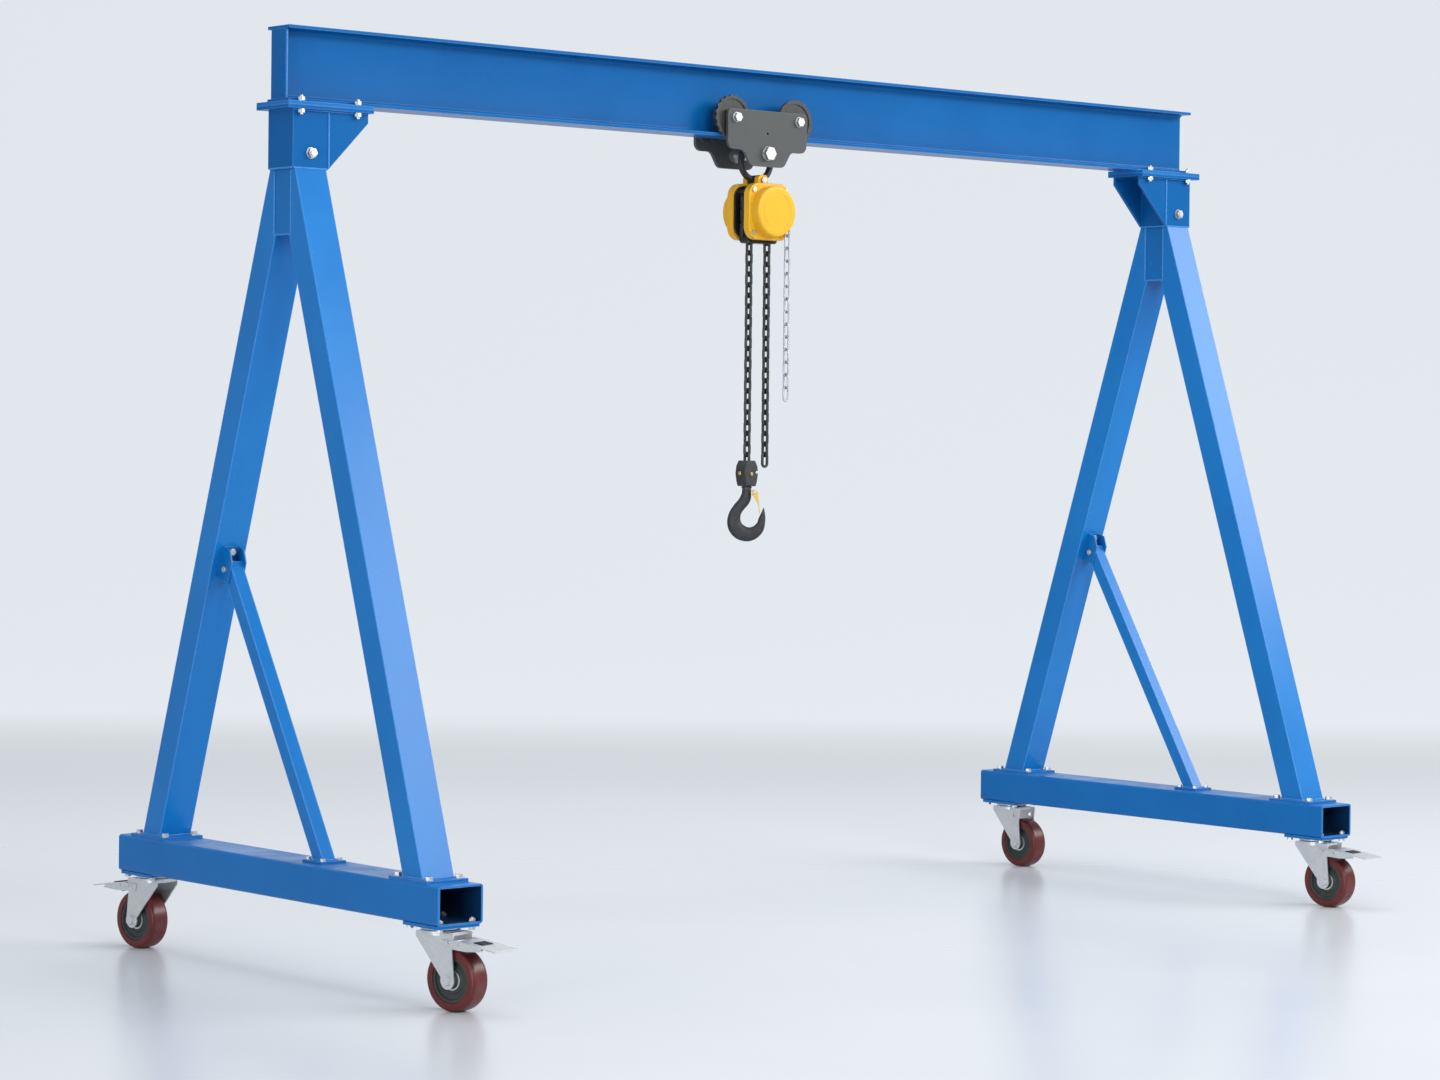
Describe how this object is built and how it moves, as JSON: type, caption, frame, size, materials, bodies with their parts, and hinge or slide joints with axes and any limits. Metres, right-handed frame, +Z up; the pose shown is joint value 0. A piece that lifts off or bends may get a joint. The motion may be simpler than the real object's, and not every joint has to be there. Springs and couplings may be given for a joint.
{
  "type": "portable gantry crane",
  "caption": "I-beam gantry on two braced A-frames with swivel casters, carrying a push trolley, a hand-chain hoist and a latched load hook.",
  "frame": {"origin": "on the floor under the middle of the crane's bounding box", "axes": "+X along the beam, +Y along the base tubes towards the rear, +Z up"},
  "size_m": [3.566, 1.7581, 2.51],
  "materials": {
    "blue_paint": "glossy",
    "zinc_plate": "satin",
    "polyurethane_tyre": "satin",
    "hub_casting": "matte",
    "grey_paint": "satin",
    "dark_casting": "matte",
    "black_forging": "satin",
    "black_paint": "satin",
    "yellow_paint": "glossy",
    "black_chain": "satin",
    "zinc_chain": "satin",
    "brass_pin": "satin",
    "yellow_zinc": "satin"
  },
  "bodies": {
    "frame": {"beam": "blue_paint", "beam_end_plate": "blue_paint", "beam_pads": "blue_paint", "head_left": "blue_paint", "head_right": "blue_paint", "head_bolts": "zinc_plate", "sleeve_bolts": "zinc_plate", "posts": "blue_paint", "leg_left_front": "blue_paint", "leg_left_rear": "blue_paint", "leg_right_front": "blue_paint", "leg_right_rear": "blue_paint", "crotch_blocks": "blue_paint", "foot_plates": "blue_paint", "foot_bolts": "zinc_plate", "base_tube_left": "blue_paint", "base_tube_right": "blue_paint", "brace_left": "blue_paint", "brace_right": "blue_paint", "brace_clips": "blue_paint", "brace_bolts": "zinc_plate", "caster_plates": "blue_paint", "caster_bolts": "zinc_plate", "caster_races": "zinc_plate"},
    "swivel_left_front": {"fork_left_front": "zinc_plate"},
    "wheel_left_front": {"tyre_left_front": "polyurethane_tyre", "hub_left_front": "hub_casting"},
    "brake_left_front": {"pedal_left_front": "zinc_plate"},
    "swivel_left_rear": {"fork_left_rear": "zinc_plate"},
    "wheel_left_rear": {"tyre_left_rear": "polyurethane_tyre", "hub_left_rear": "hub_casting"},
    "brake_left_rear": {"pedal_left_rear": "zinc_plate"},
    "swivel_right_front": {"fork_right_front": "zinc_plate"},
    "wheel_right_front": {"tyre_right_front": "polyurethane_tyre", "hub_right_front": "hub_casting"},
    "brake_right_front": {"pedal_right_front": "zinc_plate"},
    "swivel_right_rear": {"fork_right_rear": "zinc_plate"},
    "wheel_right_rear": {"tyre_right_rear": "polyurethane_tyre", "hub_right_rear": "hub_casting"},
    "trolley": {"trolley_plate_front": "grey_paint", "trolley_plate_rear": "grey_paint", "trolley_axle_bolts": "zinc_plate", "load_shaft": "zinc_plate"},
    "trolley_wheel_left_front": {"trolley_wheel_left_front": "dark_casting"},
    "trolley_wheel_left_rear": {"trolley_wheel_left_rear": "dark_casting"},
    "trolley_wheel_right_front": {"trolley_wheel_right_front": "dark_casting"},
    "trolley_wheel_right_rear": {"trolley_wheel_right_rear": "dark_casting"},
    "hoist": {"suspension_loop": "black_forging", "hoist_frame": "black_paint", "hand_wheel_cover": "yellow_paint", "gear_cover": "yellow_paint", "hoist_bolts": "zinc_plate", "load_chain": "black_chain", "slack_chain": "black_chain", "hand_chain": "zinc_chain"},
    "sprocket": {"load_sprocket": "dark_casting"},
    "hook_block": {"hook_block": "black_forging", "block_pin": "brass_pin"},
    "hook": {"hook": "black_forging"},
    "latch": {"latch": "yellow_zinc"}
  },
  "joints": [
    {"name": "caster_swivel_left_front", "type": "hinge", "parent": "frame", "child": "swivel_left_front", "pos_m": [-1.7, -0.66, 0.2], "axis": [0, 0, 1], "continuous": true},
    {"name": "wheel_spin_left_front", "type": "hinge", "parent": "swivel_left_front", "child": "wheel_left_front", "pos_m": [-1.68857, -0.7138, 0.08], "axis": [0.9781, 0.2079, 0], "continuous": true},
    {"name": "brake_left_front", "type": "hinge", "parent": "swivel_left_front", "child": "brake_left_front", "pos_m": [-1.6896, -0.70891, 0.172], "axis": [0.9781, 0.2079, 0], "range_deg": [0, 10]},
    {"name": "caster_swivel_left_rear", "type": "hinge", "parent": "frame", "child": "swivel_left_rear", "pos_m": [-1.7, 0.66, 0.2], "axis": [0, 0, 1], "continuous": true},
    {"name": "wheel_spin_left_rear", "type": "hinge", "parent": "swivel_left_rear", "child": "wheel_left_rear", "pos_m": [-1.70765, 0.71447, 0.08], "axis": [-0.9903, -0.1392, 0], "continuous": true},
    {"name": "brake_left_rear", "type": "hinge", "parent": "swivel_left_rear", "child": "brake_left_rear", "pos_m": [-1.70696, 0.70951, 0.172], "axis": [-0.9903, -0.1392, 0], "range_deg": [0, 10]},
    {"name": "caster_swivel_right_front", "type": "hinge", "parent": "frame", "child": "swivel_right_front", "pos_m": [1.7, -0.66, 0.2], "axis": [0, 0, 1], "continuous": true},
    {"name": "wheel_spin_right_front", "type": "hinge", "parent": "swivel_right_front", "child": "wheel_right_front", "pos_m": [1.70384, -0.71487, 0.08], "axis": [0.9976, 0.0698, 0], "continuous": true},
    {"name": "brake_right_front", "type": "hinge", "parent": "swivel_right_front", "child": "brake_right_front", "pos_m": [1.70349, -0.70988, 0.172], "axis": [0.9976, 0.0698, 0], "range_deg": [0, 10]},
    {"name": "caster_swivel_right_rear", "type": "hinge", "parent": "frame", "child": "swivel_right_rear", "pos_m": [1.7, 0.66, 0.2], "axis": [0, 0, 1], "continuous": true},
    {"name": "wheel_spin_right_rear", "type": "hinge", "parent": "swivel_right_rear", "child": "wheel_right_rear", "pos_m": [1.7, 0.605, 0.08], "axis": [1, 0, 0], "continuous": true},
    {"name": "trolley_travel", "type": "slide", "parent": "frame", "child": "trolley", "axis": [1, 0, 0], "range_m": [-1.205, 1.415]},
    {"name": "roll_left_front", "type": "hinge", "parent": "trolley", "child": "trolley_wheel_left_front", "pos_m": [-0.227, -0.05, 2.365], "axis": [0, 1, 0], "continuous": true},
    {"name": "roll_left_rear", "type": "hinge", "parent": "trolley", "child": "trolley_wheel_left_rear", "pos_m": [-0.227, 0.05, 2.365], "axis": [0, 1, 0], "continuous": true},
    {"name": "roll_right_front", "type": "hinge", "parent": "trolley", "child": "trolley_wheel_right_front", "pos_m": [0.017, -0.05, 2.365], "axis": [0, 1, 0], "continuous": true},
    {"name": "roll_right_rear", "type": "hinge", "parent": "trolley", "child": "trolley_wheel_right_rear", "pos_m": [0.017, 0.05, 2.365], "axis": [0, 1, 0], "continuous": true},
    {"name": "hoist_swing", "type": "hinge", "parent": "trolley", "child": "hoist", "pos_m": [-0.105, 0, 2.266], "axis": [0, 1, 0], "range_deg": [-12, 12]},
    {"name": "sprocket_turn", "type": "hinge", "parent": "hoist", "child": "sprocket", "pos_m": [-0.07, 0, 2.1], "axis": [0, 1, 0], "continuous": true},
    {"name": "hook_lift", "type": "slide", "parent": "hoist", "child": "hook_block", "axis": [0, 0, 1], "range_m": [0, 0.5], "deforming": ["load_chain"]},
    {"name": "hook_swivel", "type": "hinge", "parent": "hook_block", "child": "hook", "pos_m": [-0.105, 0, 1.308], "axis": [0, 0, 1], "continuous": true},
    {"name": "latch_open", "type": "hinge", "parent": "hook", "child": "latch", "pos_m": [-0.08915, -0.01378, 1.278], "axis": [0.6561, 0.7547, 0], "range_deg": [0, 30]}
  ],
  "couplings": [
    {"joint": "roll_left_front", "follows": "trolley_travel", "rad_per_m": 21.552},
    {"joint": "roll_left_rear", "follows": "trolley_travel", "rad_per_m": 21.552},
    {"joint": "roll_right_front", "follows": "trolley_travel", "rad_per_m": 21.552},
    {"joint": "roll_right_rear", "follows": "trolley_travel", "rad_per_m": 21.552},
    {"joint": "sprocket_turn", "follows": "hook_lift", "rad_per_m": 28.571}
  ]
}
